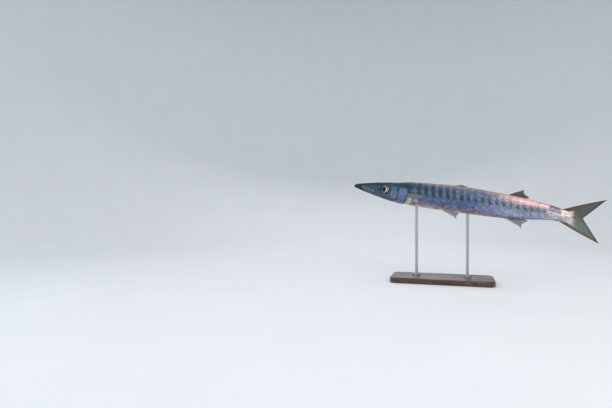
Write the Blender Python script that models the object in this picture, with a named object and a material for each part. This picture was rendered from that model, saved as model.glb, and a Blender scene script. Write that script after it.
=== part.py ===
"""A life-size barracuda, swimming level with its nose a little up, on a flat base with two short rods.

The fish is worked out along its own axis: x runs from the tip of the lower jaw to the root of the tail
fin, y across, with the fish's left side at -y, and z up towards its back. An empty turns it nose up and
sets it over the stand. Shares are parts of the body length.
"""

import math

import bmesh
import bpy
from mathutils import Matrix, Vector

# Driving dimensions, in metres and radians
BODY_LENGTH = 0.600
NOSE_UP = math.radians(8.6)
CARRY_HEIGHT = 0.245
CARRY_SHARE = 0.44
GAP = 0.0003

# The body's outline as (share of the length, share of the length) stations
BACK = (
    (0.000, 0.0105), (0.018, 0.0155), (0.080, 0.0290), (0.160, 0.0425), (0.230, 0.0510), (0.290, 0.0612),
    (0.420, 0.0695), (0.540, 0.0715), (0.660, 0.0662), (0.780, 0.0590), (0.890, 0.0462), (0.950, 0.0355),
    (0.980, 0.0275), (1.000, 0.0245),
)
BELLY = (
    (0.000, 0.0070), (0.020, 0.0100), (0.050, 0.0197), (0.130, 0.0385), (0.225, 0.0535), (0.290, 0.0565),
    (0.480, 0.0583), (0.600, 0.0566), (0.740, 0.0510), (0.850, 0.0395), (0.910, 0.0308), (0.955, 0.0293),
    (1.000, 0.0318),
)
SIDE = (
    (0.000, 0.0062), (0.020, 0.0088), (0.080, 0.0165), (0.140, 0.0250), (0.190, 0.0318), (0.260, 0.0398),
    (0.340, 0.0432), (0.480, 0.0462), (0.620, 0.0438), (0.750, 0.0368), (0.860, 0.0265), (0.940, 0.0180),
    (0.975, 0.0112), (1.000, 0.0038),
)
BACK_SQUARENESS = ((0.000, 2.0), (0.080, 2.3), (0.160, 2.7), (0.240, 2.4), (0.400, 2.1), (1.000, 2.0))
BELLY_SQUARENESS = ((0.000, 2.0), (0.100, 1.75), (0.200, 1.8), (0.320, 2.0), (0.500, 2.15), (1.000, 2.0))
NOSE_BLUNTNESS = 0.013
SHEATH_FROM = 0.90
SHEATH_REACH = 0.017
BODY_RINGS = 48
BODY_SIDES = 30

# Where the body is parted, as (x, z) shares
GILL_OPENING = ((0.2480, 0.0900), (0.2620, 0.0460), (0.2730, 0.0280), (0.2790, 0.0020), (0.2745, -0.0300),
                (0.2640, -0.0530), (0.2560, -0.0900))
GILL_COVER = ((0.2380, 0.0385), (0.2262, 0.0300), (0.2300, 0.0000), (0.2262, -0.0300), (0.2330, -0.0470),
              (0.2600, -0.0560), (0.3000, -0.0560), (0.3000, 0.0385))
GILL_COVER_THICKNESS = 0.0036
GILL_SPAN = (0.18, 0.34)
MOUTH_LINE = ((0.0100, 0.0052), (0.0300, -0.0006), (0.0700, -0.0110), (0.1180, -0.0196))
LOWER_JAW_REAR = ((0.1500, -0.0355), (0.1820, -0.0560))
UPPER_JAW_TOP = ((0.1260, -0.0110), (0.1100, -0.0035), (0.0700, 0.0045), (0.0300, 0.0100))
TAIL_SHARE = 0.720

# Eyes
EYE_X = 0.1638
EYE_Z = 0.0054
EYE_RADIUS = 0.0132
EYE_DEPTH = 0.0056
EYE_OUT = 0.0190
EYE_TURN = math.radians(8)

# Stand
BASE_LENGTH = 0.290
BASE_WIDTH = 0.130
BASE_HEIGHT = 0.016
BASE_CORNER = 0.022
BASE_EDGE = 0.003
ROD_RADIUS = 0.004
ROD_SHARES = (0.32, 0.56)
ROD_IN_BODY = 0.014
COLLAR_RADIUS = 0.010
COLLAR_HEIGHT = 0.007


def clear_scene():
    for item in list(bpy.data.objects):
        bpy.data.objects.remove(item, do_unlink=True)


def paint(name, colour, roughness, metallic=0.0):
    material = bpy.data.materials.new(name)
    material.use_nodes = True
    shader = material.node_tree.nodes["Principled BSDF"]
    shader.inputs["Base Color"].default_value = (*colour, 1.0)
    shader.inputs["Roughness"].default_value = roughness
    shader.inputs["Metallic"].default_value = metallic
    return material


def on_curve(stations, share):
    """The value at a share of the length, on a smooth curve through the stations."""
    last = len(stations) - 2
    i = max(k for k in range(last + 1) if k == 0 or stations[k][0] <= share)
    (x0, y0), (x1, y1) = stations[i], stations[i + 1]

    def slope(k):
        before, after = stations[max(k - 1, 0)], stations[min(k + 1, last + 1)]
        return (after[1] - before[1]) / (after[0] - before[0])

    step = x1 - x0
    t = min(max((share - x0) / step, 0.0), 1.0)
    rise, start, end = y1 - y0, slope(i) * step, slope(i + 1) * step
    return y0 + t * (start + t * (3 * rise - 2 * start - end + t * (start + end - 2 * rise)))


def body_point(share, turn, grow=0.0):
    """A point of the body's surface: turn runs from the ridge of the back round by the left side."""
    blunt = math.sqrt(1 - (1 - min(share / NOSE_BLUNTNESS, 1)) ** 2)
    across, up = math.sin(turn), math.cos(turn)
    upper = up > 0
    height = on_curve(BACK if upper else BELLY, share) * BODY_LENGTH * blunt + grow
    width = on_curve(SIDE, share) * BODY_LENGTH * blunt + grow
    power = 2 / on_curve(BACK_SQUARENESS if upper else BELLY_SQUARENESS, share)
    y = -math.copysign(abs(across) ** power, across) * width
    z = math.copysign(abs(up) ** power, up) * height
    # The scaly sheath's end bulges back over the tail fin between its two roots
    sheath = max(share - SHEATH_FROM, 0) / (1 - SHEATH_FROM)
    x = (share + SHEATH_REACH * (sheath * across) ** 2) * BODY_LENGTH
    return Vector((x, y, z))


def new_object(name, build, material=None):
    """An object from a bmesh, closed and facing out."""
    build.normal_update()
    bmesh.ops.recalc_face_normals(build, faces=build.faces)
    mesh = bpy.data.meshes.new(name)
    build.to_mesh(mesh)
    build.free()
    made = bpy.data.objects.new(name, mesh)
    bpy.context.scene.collection.objects.link(made)
    if material:
        mesh.materials.append(material)
    return made


def as_guide(made):
    made.hide_render = True
    made.display_type = "WIRE"
    return made


def combine(made, operation, other):
    modifier = made.modifiers.new(f"{operation.lower()}_{other.name}", "BOOLEAN")
    modifier.operation = operation
    modifier.object = other
    modifier.solver = "EXACT"
    return made


def close_sheath(build):
    """Closes the sheath's curved end with strips that run straight across from left to right."""
    rim = [v for v in build.verts if v.is_boundary and v.co.x > SHEATH_FROM * BODY_LENGTH]
    middle = sorted((v for v in rim if abs(v.co.y) < GAP / 10), key=lambda v: v.co.z)
    left, right = (
        sorted((v for v in rim if v.co.y * way > GAP / 10), key=lambda v: v.co.z) for way in (-1, 1)
    )
    for a, b, c, d in zip(left, left[1:], right[1:], right):
        build.faces.new((a, b, c, d))
    for middle_vert, end in zip(middle, (0, -1)):
        build.faces.new((middle_vert, left[end], right[end]))


def body_mesh(name, grow=0.0, start=0.0, end=1.0):
    """The body as one closed skin: a grid wrapped round the axis and closed at both ends."""
    build = bmesh.new()
    bmesh.ops.create_grid(build, x_segments=BODY_RINGS, y_segments=BODY_SIDES, size=1.0)
    for vert in build.verts:
        share = start + (end - start) * ((vert.co.x + 1) / 2) ** 1.25
        turn = (vert.co.y + 1) * math.pi
        vert.co = body_point(share, turn, grow)
    bmesh.ops.remove_doubles(build, verts=build.verts, dist=0.00002)
    if end > SHEATH_FROM:
        close_sheath(build)
    bmesh.ops.holes_fill(build, edges=build.edges)
    return new_object(name, build)


def prism(name, outline, near, far):
    """A closed block with a side-view outline, given in shares, from y = near to y = far."""
    build = bmesh.new()
    corners = [build.verts.new((x * BODY_LENGTH, near, z * BODY_LENGTH)) for x, z in outline]
    face = build.faces.new(corners)
    block = bmesh.ops.extrude_face_region(build, geom=[face])
    moved = [item for item in block["geom"] if isinstance(item, bmesh.types.BMVert)]
    bmesh.ops.translate(build, verts=moved, vec=(0, far - near, 0))
    return as_guide(new_object(name, build))


def smooth_outline(points, steps=4):
    """A run of points as a smooth open line through them."""
    knots = [Vector(p) for p in points]
    ends = [2 * knots[0] - knots[1]] + knots + [2 * knots[-1] - knots[-2]]
    line = []
    for a, b, c, d in zip(ends, ends[1:], ends[2:], ends[3:]):
        for k in range(steps):
            t = k / steps
            line.append(0.5 * (2 * b + (c - a) * t + (2 * a - 5 * b + 4 * c - d) * t * t
                               + (3 * b - a - 3 * c + d) * t ** 3))
    return line + [knots[-1]]


def grown(outline, amount):
    """A closed outline moved out by an amount in metres."""
    share = amount / BODY_LENGTH
    points = [Vector(p) for p in outline]
    area = sum(a.x * b.y - b.x * a.y for a, b in zip(points, points[1:] + points[:1]))
    way = 1 if area > 0 else -1
    moved = []
    for before, here, after in zip(points[-1:] + points, points, points[1:] + points[:1]):
        a, b = (here - before).normalized(), (after - here).normalized()
        normal = (Vector((a.y, -a.x)) + Vector((b.y, -b.x))) * way
        moved.append(here + normal.normalized() * share / max(normal.length / 2, 0.5))
    return moved


def eyeball(name, way, grow=0.0, material=None):
    """A flattened ball with its pole out of the head, turned a little forward as the cheek slopes."""
    build = bmesh.new()
    bmesh.ops.create_uvsphere(build, u_segments=18, v_segments=10, radius=1.0)
    sizes = Vector((EYE_RADIUS, EYE_RADIUS, EYE_DEPTH)) + Vector((grow, grow, grow))
    centre = Vector((EYE_X * BODY_LENGTH, way * (EYE_OUT - EYE_DEPTH), EYE_Z * BODY_LENGTH))
    turn = Matrix.Rotation(way * EYE_TURN, 4, "Z") @ Matrix.Rotation(-way * math.pi / 2, 4, "X")
    bmesh.ops.transform(build, verts=build.verts,
                        matrix=Matrix.Translation(centre) @ turn @ Matrix.Diagonal((*sizes, 1)))
    return new_object(name, build, material)


def cut_to(name, whole, region, material):
    """A named piece of the body: the whole body inside a region."""
    made = bpy.data.objects.new(name, whole.data.copy())
    bpy.context.scene.collection.objects.link(made)
    made.data.materials.append(material)
    return combine(made, "INTERSECT", region)


def head_and_trunk(whole, core, recess_core, skin):
    """The head, both jaws, the gill covers, the trunk and the tail, parted by thin cuts."""
    reach = 0.08
    gill_line = smooth_outline(GILL_OPENING)
    front_outline = [Vector((-0.05, 0.09)), *gill_line, Vector((-0.05, -0.09))]
    rear_outline = [Vector((0.72, 0.12)), *gill_line, Vector((0.72, -0.12))]
    front = prism("front_region", front_outline, -reach, reach)

    mouth = smooth_outline(MOUTH_LINE)
    jaw_outline = [Vector((-0.02, -0.09)), Vector((-0.02, 0.03)), Vector((0.0100, 0.03)), *mouth,
                   *map(Vector, LOWER_JAW_REAR), Vector((0.1820, -0.09))]
    upper_outline = [Vector((0.0100, 0.03)), *mouth, *smooth_outline(UPPER_JAW_TOP), Vector((0.0220, 0.03))]
    jaw_region = prism("jaw_region", jaw_outline, -reach, reach)
    jaw_room = prism("jaw_room", grown(jaw_outline, GAP), -reach, reach)
    upper_region = prism("upper_jaw_region", upper_outline, -reach, reach)
    upper_room = prism("upper_jaw_room", grown(upper_outline, GAP), -reach, reach)

    lower_jaw = cut_to("lower_jaw", whole, jaw_region, skin)
    upper_jaw = combine(cut_to("upper_jaw", whole, upper_region, skin), "DIFFERENCE", jaw_room)
    head = cut_to("head", whole, front, skin)
    combine(head, "DIFFERENCE", jaw_room)
    combine(head, "DIFFERENCE", upper_room)
    pieces = [lower_jaw, upper_jaw, head]

    cover_outline = smooth_outline(GILL_COVER[:6]) + [Vector(p) for p in GILL_COVER[6:]]
    for side, way in (("left", -1), ("right", 1)):
        near, far = way * 0.005, way * reach
        cover_region = prism(f"gill_region_{side}", cover_outline, near, far)
        cover = cut_to(f"gill_cover_{side}", whole, cover_region, skin)
        combine(cover, "INTERSECT", front)
        combine(cover, "DIFFERENCE", core)
        room = prism(f"gill_room_{side}", grown(cover_outline, GAP), near, far)
        combine(room, "DIFFERENCE", recess_core)
        combine(head, "DIFFERENCE", room)
        pieces.append(cover)

    trunk_outline = grown(rear_outline, -GAP)
    trunk_region = prism("trunk_region", trunk_outline, -reach, reach)
    trunk = cut_to("trunk", whole, trunk_region, skin)
    tail_start = TAIL_SHARE + GAP / BODY_LENGTH / 2
    tail_outline = [(tail_start, 0.12), (tail_start, -0.12), (1.05, -0.12), (1.05, 0.12)]
    tail = cut_to("tail", whole, prism("tail_region", tail_outline, -reach, reach), skin)
    return pieces + [trunk, tail], head, trunk


def eyes(head, material):
    made = []
    for side, way in (("left", -1), ("right", 1)):
        made.append(eyeball(f"eye_{side}", way, material=material))
        room = as_guide(eyeball(f"eye_room_{side}", way, GAP))
        combine(head, "DIFFERENCE", room)
        made.append(room)
    return made


def fin(name, base, margin, place, thickness, material, rays=10, steps=5, hollow=0.0, bow=0.0):
    """A thin fin: rays run straight from its base line to its free margin.

    base and margin are each (front, rear) points as (back, out) shares in the fin's own plane. hollow
    draws the middle of the margin in, or out if negative, bow swells the leading edge, and place sets
    the plane in the fish.
    """
    build = bmesh.new()
    bmesh.ops.create_grid(build, x_segments=rays, y_segments=steps, size=1.0)
    (base_front, base_rear), (tip_front, tip_rear) = (
        [Vector(p) * BODY_LENGTH for p in pair] for pair in (base, margin)
    )
    weights = {}
    for index, vert in enumerate(build.verts):
        across, out = (vert.co.x + 1) / 2, (vert.co.y + 1) / 2
        root = base_front.lerp(base_rear, across)
        edge = tip_front.lerp(tip_rear, across)
        edge += (root - edge) * hollow * math.sin(math.pi * across)
        lead = edge - root
        swell = Vector((-lead.y, lead.x)) * bow * math.sin(math.pi * out) * (1 - across)
        back, height = root.lerp(edge, out) + swell
        vert.co = place(back, height)
        weights[index] = 1 - 0.6 * out
    mesh_object = new_object(name, build, material)
    group = mesh_object.vertex_groups.new(name="root_to_margin")
    for index, weight in weights.items():
        group.add([index], weight, "REPLACE")
    shell = mesh_object.modifiers.new("thickness", "SOLIDIFY")
    shell.thickness = thickness
    shell.offset = 0.0
    shell.vertex_group = group.name
    shell.thickness_vertex_group = 0.0
    return mesh_object


def median(back, height):
    """The fish's middle plane."""
    return Vector((back, 0, height))


def leaning(origin, way, out_angle, down_angle):
    """A plane through a point of the left or right side, turned out from the body and tipped down."""
    tip = Matrix.Rotation(-way * down_angle, 3, "X")
    swing = Matrix.Rotation(way * out_angle, 3, "Z")

    def place(back, height):
        return origin + swing @ tip @ Vector((back, 0, height))
    return place


def fins(clearance, thin, dusky):
    """All ten fins, each trimmed to lie a thin gap off the body."""
    made = [
        fin("tail_fin_upper", ((0.966, 0.014), (0.975, -0.0032)), ((1.1434, 0.0970), (1.0600, -0.0012)),
            median, 0.0022, dusky, hollow=0.03, bow=0.012),
        fin("tail_fin_lower", ((0.970, -0.022), (0.975, -0.0042)), ((1.1408, -0.1021), (1.0600, -0.0024)),
            median, 0.0022, dusky, hollow=0.03, bow=-0.012),
        fin("first_dorsal_fin", ((0.452, 0.062), (0.520, 0.062)), ((0.5280, 0.0785), (0.5520, 0.0730)),
            median, 0.0018, dusky, rays=6, steps=4, hollow=0.02),
        fin("second_dorsal_fin", ((0.722, 0.052), (0.803, 0.047)), ((0.8020, 0.0930), (0.8290, 0.0620)),
            median, 0.0018, dusky, hollow=0.16, bow=0.02),
        fin("anal_fin", ((0.717, -0.043), (0.812, -0.036)), ((0.8170, -0.0880), (0.8390, -0.0480)),
            median, 0.0018, thin, hollow=0.16, bow=-0.02),
    ]
    for side, way in (("left", -1), ("right", 1)):
        pectoral_root = Vector((0.279, way * 0.0395, -0.0090)) * BODY_LENGTH
        made.append(
            fin(f"pectoral_fin_{side}", ((0.0, 0.0075), (0.0, -0.0085)),
                ((0.0840, 0.0080), (0.0400, -0.0150)),
                leaning(pectoral_root, way, math.radians(14), math.radians(14)), 0.0016, thin,
                rays=8, hollow=-0.10, bow=0.03))
        pelvic_root = Vector((0.426, way * 0.0125, -0.0500)) * BODY_LENGTH
        made.append(
            fin(f"pelvic_fin_{side}", ((0.0, 0.0), (0.0360, 0.0)), ((0.1010, -0.0480), (0.1060, -0.0120)),
                leaning(pelvic_root, way, math.radians(6), math.radians(-38)), 0.0016, thin,
                rays=6, hollow=0.05, bow=-0.03))
    for piece in made:
        combine(piece, "DIFFERENCE", clearance)
    return made


def cylinder(name, radius, low, high, x, material, sides=24):
    build = bmesh.new()
    bmesh.ops.create_cone(
        build, cap_ends=True, segments=sides, radius1=radius, radius2=radius, depth=high - low)
    bmesh.ops.translate(build, verts=build.verts, vec=(x, 0, (high + low) / 2))
    return new_object(name, build, material)


def belly_height(x):
    """World height of the belly's lowest line over a point of the stand."""
    along = x / math.cos(NOSE_UP)
    for _ in range(8):
        share = CARRY_SHARE + along / BODY_LENGTH
        drop = on_curve(BELLY, share) * BODY_LENGTH
        along = (x + drop * math.sin(NOSE_UP)) / math.cos(NOSE_UP)
    return CARRY_HEIGHT - along * math.sin(NOSE_UP) - drop * math.cos(NOSE_UP)


def stand(trunk, wood, steel):
    """A flat base with a softened edge, and two rods with collars that end in sockets in the belly."""
    build = bmesh.new()
    bmesh.ops.create_cube(build, size=1.0)
    bmesh.ops.scale(build, vec=(BASE_LENGTH, BASE_WIDTH, BASE_HEIGHT), verts=build.verts)
    bmesh.ops.translate(build, verts=build.verts, vec=(0, 0, BASE_HEIGHT / 2))
    upright = [e for e in build.edges if abs(e.verts[0].co.z - e.verts[1].co.z) > BASE_HEIGHT / 2]
    bmesh.ops.bevel(build, geom=upright, offset=BASE_CORNER, segments=8, profile=0.5,
                    affect="EDGES", material=-1)
    top = [e for e in build.edges if min(v.co.z for v in e.verts) > BASE_HEIGHT * 0.9]
    bmesh.ops.bevel(build, geom=top, offset=BASE_EDGE, segments=3, profile=0.5,
                    affect="EDGES", material=-1)
    new_object("stand_base", build, wood)

    for label, share in zip(("front", "rear"), ROD_SHARES):
        x = (share - CARRY_SHARE) * BODY_LENGTH
        foot = BASE_HEIGHT + GAP
        head_room = belly_height(x) + ROD_IN_BODY
        cylinder(f"stand_rod_{label}", ROD_RADIUS, foot, head_room, x, steel)
        socket = cylinder(f"socket_{label}", ROD_RADIUS + GAP, foot, head_room + GAP, x, None)
        combine(trunk, "DIFFERENCE", as_guide(socket))
        collar = cylinder(f"stand_collar_{label}", COLLAR_RADIUS, foot, foot + COLLAR_HEIGHT, x, steel, 32)
        bore = cylinder(f"collar_bore_{label}", ROD_RADIUS + GAP, 0, CARRY_HEIGHT, x, None)
        combine(collar, "DIFFERENCE", as_guide(bore))


def main():
    clear_scene()
    skin = paint("silver_skin", (0.30, 0.34, 0.46), 0.35, 0.5)
    thin = paint("pale_fin", (0.32, 0.37, 0.40), 0.45)
    dusky = paint("dusky_fin", (0.13, 0.11, 0.07), 0.45)
    eye_paint = paint("eye_gloss", (0.55, 0.50, 0.42), 0.10)
    wood = paint("stand_wood", (0.10, 0.055, 0.03), 0.45)
    steel = paint("stand_steel", (0.55, 0.56, 0.58), 0.30, 1.0)

    whole = as_guide(body_mesh("whole_body"))
    clearance = as_guide(body_mesh("body_clearance", GAP * 1.3))
    core = as_guide(body_mesh("gill_core", -GILL_COVER_THICKNESS, *GILL_SPAN))
    recess_core = as_guide(body_mesh("gill_recess_core", -GILL_COVER_THICKNESS - GAP, *GILL_SPAN))
    pieces, head, trunk = head_and_trunk(whole, core, recess_core, skin)
    fish = pieces + [whole, clearance, core, recess_core]
    fish += eyes(head, eye_paint)
    fish += fins(clearance, thin, dusky)
    fish += [item for item in bpy.data.objects if item.name.endswith("_region") or "_room" in item.name
             or "gill_region" in item.name]

    pose = bpy.data.objects.new("fish_pose", None)
    bpy.context.scene.collection.objects.link(pose)
    pose.rotation_euler = (0, NOSE_UP, 0)
    carry = Vector((CARRY_SHARE * BODY_LENGTH * math.cos(NOSE_UP), 0,
                    -CARRY_SHARE * BODY_LENGTH * math.sin(NOSE_UP)))
    pose.location = Vector((0, 0, CARRY_HEIGHT)) - carry
    for item in set(fish):
        item.parent = pose
    stand(trunk, wood, steel)


main()
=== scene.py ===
"""A life-size barracuda on its display stand: skin, scales, fins, eyes, stand, and a plain pale studio."""
import math

import bmesh
import bpy
import numpy as np
from mathutils import Matrix, Vector


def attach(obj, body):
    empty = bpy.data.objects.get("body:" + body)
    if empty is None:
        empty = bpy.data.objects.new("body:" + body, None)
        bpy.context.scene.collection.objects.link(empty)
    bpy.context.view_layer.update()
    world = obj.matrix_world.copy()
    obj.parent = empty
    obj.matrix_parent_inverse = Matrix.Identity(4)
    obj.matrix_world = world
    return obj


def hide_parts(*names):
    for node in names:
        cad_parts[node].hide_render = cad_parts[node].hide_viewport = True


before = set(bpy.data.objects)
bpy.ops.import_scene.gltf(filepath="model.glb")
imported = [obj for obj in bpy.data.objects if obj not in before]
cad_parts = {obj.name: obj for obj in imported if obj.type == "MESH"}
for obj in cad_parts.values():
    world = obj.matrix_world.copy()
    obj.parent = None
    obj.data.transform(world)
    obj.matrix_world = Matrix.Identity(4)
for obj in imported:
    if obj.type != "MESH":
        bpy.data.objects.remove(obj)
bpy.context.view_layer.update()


# The skin. One closed hide over the skull, jaws, gill covers, trunk and tail, firm on the bones of the
# head and thin under the scales behind them. It is worked out round the fish's own axis: x runs back
# from the tip of the lower jaw, the left side is at -y, and POSE turns it nose up over the stand.
BODY_LENGTH = 0.600
POSE = (Matrix.Translation((0, 0, 0.245)) @ Matrix.Rotation(math.radians(8.6), 4, "Y")
        @ Matrix.Translation((-0.44 * BODY_LENGTH, 0, 0)))
BACK = (
    (0.000, 0.0105), (0.018, 0.0155), (0.080, 0.0290), (0.160, 0.0425), (0.230, 0.0510), (0.290, 0.0612),
    (0.420, 0.0695), (0.540, 0.0715), (0.660, 0.0662), (0.780, 0.0590), (0.890, 0.0462), (0.950, 0.0355),
    (0.980, 0.0275), (1.000, 0.0245),
)
BELLY = (
    (0.000, 0.0070), (0.020, 0.0100), (0.050, 0.0197), (0.130, 0.0385), (0.225, 0.0535), (0.290, 0.0565),
    (0.480, 0.0583), (0.600, 0.0566), (0.740, 0.0510), (0.850, 0.0395), (0.910, 0.0308), (0.955, 0.0293),
    (1.000, 0.0318),
)
SIDE = (
    (0.000, 0.0062), (0.020, 0.0088), (0.080, 0.0165), (0.140, 0.0250), (0.190, 0.0318), (0.260, 0.0398),
    (0.340, 0.0432), (0.480, 0.0462), (0.620, 0.0438), (0.750, 0.0368), (0.860, 0.0265), (0.940, 0.0180),
    (0.975, 0.0112), (1.000, 0.0038),
)
BACK_SQUARENESS = ((0.000, 2.0), (0.080, 2.3), (0.160, 2.7), (0.240, 2.4), (0.400, 2.1), (1.000, 2.0))
BELLY_SQUARENESS = ((0.000, 2.0), (0.100, 1.75), (0.200, 1.8), (0.320, 2.0), (0.500, 2.15), (1.000, 2.0))
NOSE_BLUNTNESS = 0.013
SHEATH_FROM, SHEATH_REACH = 0.90, 0.007
TAPER_PAST_END, MOST_TAPER = 0.035, 0.6
# How deep in the solids the skin lies, but no more than a share of the half width where the snout is thin
SKIN_DEPTH, DEEPEST_SHARE = 0.00045, 0.15


def along_curve(stations, share):
    """Values at shares of the length, on a smooth curve through (share, value) stations."""
    at, value = np.array(stations).T
    slope = np.empty_like(at)
    slope[1:-1] = (value[2:] - value[:-2]) / (at[2:] - at[:-2])
    slope[0] = (value[1] - value[0]) / (at[1] - at[0])
    slope[-1] = (value[-1] - value[-2]) / (at[-1] - at[-2])
    i = np.clip(np.searchsorted(at, share, side="right") - 1, 0, len(at) - 2)
    step = at[i + 1] - at[i]
    t = np.clip((share - at[i]) / step, 0, 1)
    rise, start, end = value[i + 1] - value[i], slope[i] * step, slope[i + 1] * step
    return value[i] + t * (start + t * (3 * rise - 2 * start - end + t * (start + end - 2 * rise)))


def ease(value, low, high):
    """0 below low, 1 above high, and smooth between."""
    t = np.clip((value - low) / (high - low), 0, 1)
    return t * t * (3 - 2 * t)


def plateau(value, start, full, fading, end):
    """0 below start and above end, 1 from full to fading, and smooth between."""
    return ease(value, start, full) * (1 - ease(value, fading, end))


def ridge(value, width):
    """1 where value is 0, falling off smoothly on both sides of it."""
    return np.exp(-(value / width) ** 2)


def girth_axes(share):
    """Half height above and below the axis, half width, and the two powers of the cross-section."""
    blunt = np.sqrt(1 - (1 - np.clip(share / NOSE_BLUNTNESS, 0, 1)) ** 2)
    scale = BODY_LENGTH * blunt
    return (along_curve(BACK, share) * scale, along_curve(BELLY, share) * scale,
            along_curve(SIDE, share) * scale,
            2 / along_curve(BACK_SQUARENESS, share), 2 / along_curve(BELLY_SQUARENESS, share))


def on_body(share, turn):
    """Points on the solid body's surface. turn is 0 along the back, pi along the belly, left between."""
    above, below, width, back_power, belly_power = girth_axes(share)
    width = width * (1 - np.clip((share - 1) / TAPER_PAST_END, 0, MOST_TAPER))
    across, up = np.sin(turn), np.cos(turn)
    power = np.where(up > 0, back_power, belly_power)
    y = -np.sign(across) * np.abs(across) ** power * width
    z = np.sign(up) * np.abs(up) ** power * np.where(up > 0, above, below)
    sheath = np.clip(share - SHEATH_FROM, 0, 1) / (1 - SHEATH_FROM)
    x = (share + SHEATH_REACH * (sheath * across) ** 2) * BODY_LENGTH
    return np.stack([x, y, z], -1)


def outward(share, turn):
    """Unit normals of the body's surface, from small steps along it and round it."""
    along = on_body(share + 0.002, turn) - on_body(np.maximum(share - 0.002, 0.001), turn)
    around = on_body(share, turn + 0.02) - on_body(share, turn - 0.02)
    normal = np.cross(around, along)
    return normal / np.maximum(np.linalg.norm(normal, axis=-1, keepdims=True), 1e-12)


def down_at(share, height):
    """How far down the side, from 0 at the back to 1 at the belly, a height above the axis lies."""
    above, below, _, back_power, belly_power = girth_axes(share)
    upper = height > 0
    part = np.clip(np.abs(height) / np.where(upper, above, below), 0, 1)
    lift = part ** (1 / np.where(upper, back_power, belly_power))
    return np.arccos(np.where(upper, lift, -lift)) / math.pi


# Landmarks of the head in shares of the length. Lines that run along it are given as (x, z), and those
# that run down it as (z, x)
MOUTH_LINE = ((0.0125, 0.0050), (0.0300, -0.0006), (0.0700, -0.0110), (0.1180, -0.0196))
GILL_OPENING = ((-0.0600, 0.2560), (-0.0530, 0.2640), (-0.0300, 0.2745), (0.0020, 0.2790), (0.0280, 0.2730),
                (0.0460, 0.2620), (0.0580, 0.2500))
CHEEK_EDGE = ((-0.0470, 0.2020), (-0.0400, 0.2160), (-0.0250, 0.2265), (0.0000, 0.2295), (0.0300, 0.2260),
              (0.0420, 0.2200))
# The cleft of the mouth crosses the snout behind the lower jaw's tip and bends back along the side
CLEFT_TOP, CLEFT_BEND, CLEFT_SIDE = (0.0118, 0.0150), (0.0040, 0.0062), (0.0170, 0.0034)
CHEEKBONE = ((0.0600, -0.0046), (0.1050, -0.0120), (0.1450, -0.0176), (0.1850, -0.0190))
JAW_HINGE = ((-0.0360, 0.1480), (-0.0300, 0.1330), (-0.0200, 0.1195))
EYE = np.array((0.1638, 0.0054)) * BODY_LENGTH
NOSTRILS = np.array(((0.1235, 0.0180), (0.1310, 0.0188))) * BODY_LENGTH
PECTORAL_ROOT = np.array((0.283, -0.0090)) * BODY_LENGTH
# Round the eye, in metres: the socket's floor and edge, its rim, the furrow round that, and the brow
SOCKET_RADII, RIM_RADIUS, FURROW_RADIUS, BROW_HEIGHT = (0.0104, 0.0134), 0.0144, 0.0168, 0.0152


def edge_by_down(edge):
    """An edge given as (z, x) shares, read as the share at which it crosses each height down the side."""
    height = np.linspace(edge[0][0], edge[-1][0], 60)
    share = along_curve(edge, height)
    down = down_at(share, height * BODY_LENGTH)
    order = np.argsort(down)
    return down[order], share[order]


GILL_DOWN, GILL_SHARE = edge_by_down(GILL_OPENING)
CHEEK_DOWN, CHEEK_SHARE = edge_by_down(CHEEK_EDGE)


def behind_gill(share, down):
    return share - np.interp(down, GILL_DOWN, GILL_SHARE)


def behind_cheek(share, down):
    return share - np.interp(down, CHEEK_DOWN, CHEEK_SHARE)


def mouth_down(share):
    """How far down the side the mouth line lies, at shares from the lips to the corner."""
    clipped = np.clip(share, MOUTH_LINE[0][0], MOUTH_LINE[-1][0])
    return down_at(clipped, along_curve(MOUTH_LINE, clipped) * BODY_LENGTH)


def cleft_points():
    """The cleft as (x, z) points in metres, close enough together to measure from."""
    bend = np.linspace(0, 1, 26)[:, None]
    front = ((1 - bend) ** 2 * CLEFT_TOP + 2 * bend * (1 - bend) * np.array(CLEFT_BEND)
             + bend ** 2 * CLEFT_SIDE)
    back = np.linspace(CLEFT_SIDE[0], MOUTH_LINE[-1][0], 90)[1:]
    return np.concatenate([front, np.stack([back, along_curve(MOUTH_LINE, back)], -1)]) * BODY_LENGTH


def from_cleft(x, z):
    """Distance of each point from the mouth's cleft, in metres, seen from the side."""
    distance = np.full_like(x, 1.0)
    near = x < (MOUTH_LINE[-1][0] + 0.012) * BODY_LENGTH
    gaps = np.hypot(x[near][:, None] - CLEFT[:, 0], z[near][:, None] - CLEFT[:, 1])
    if gaps.size:
        distance[near] = gaps.min(1)
    return distance


def from_spot(x, z, spot=EYE):
    """Distance of each point from a landmark, or from the eye's middle, in metres, seen from the side."""
    return np.hypot(x - spot[0], z - spot[1])


CLEFT = cleft_points()


def half_girth(share):
    """Length of skin from back to belly on one side, near enough for a groove's width."""
    above, below, width, _, _ = girth_axes(share)
    return 1.6 * np.sqrt(((above + below) / 2) ** 2 + width ** 2) + 1e-6


def rear_edge(gap, drop, drop_fade, rise, rise_fade):
    """A bony plate's rear edge: the skin drops just behind it, and swells a little before it."""
    return np.where(gap > 0.0002, -drop * np.exp(-gap / drop_fade), rise * np.exp(gap / rise_fade))


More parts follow.
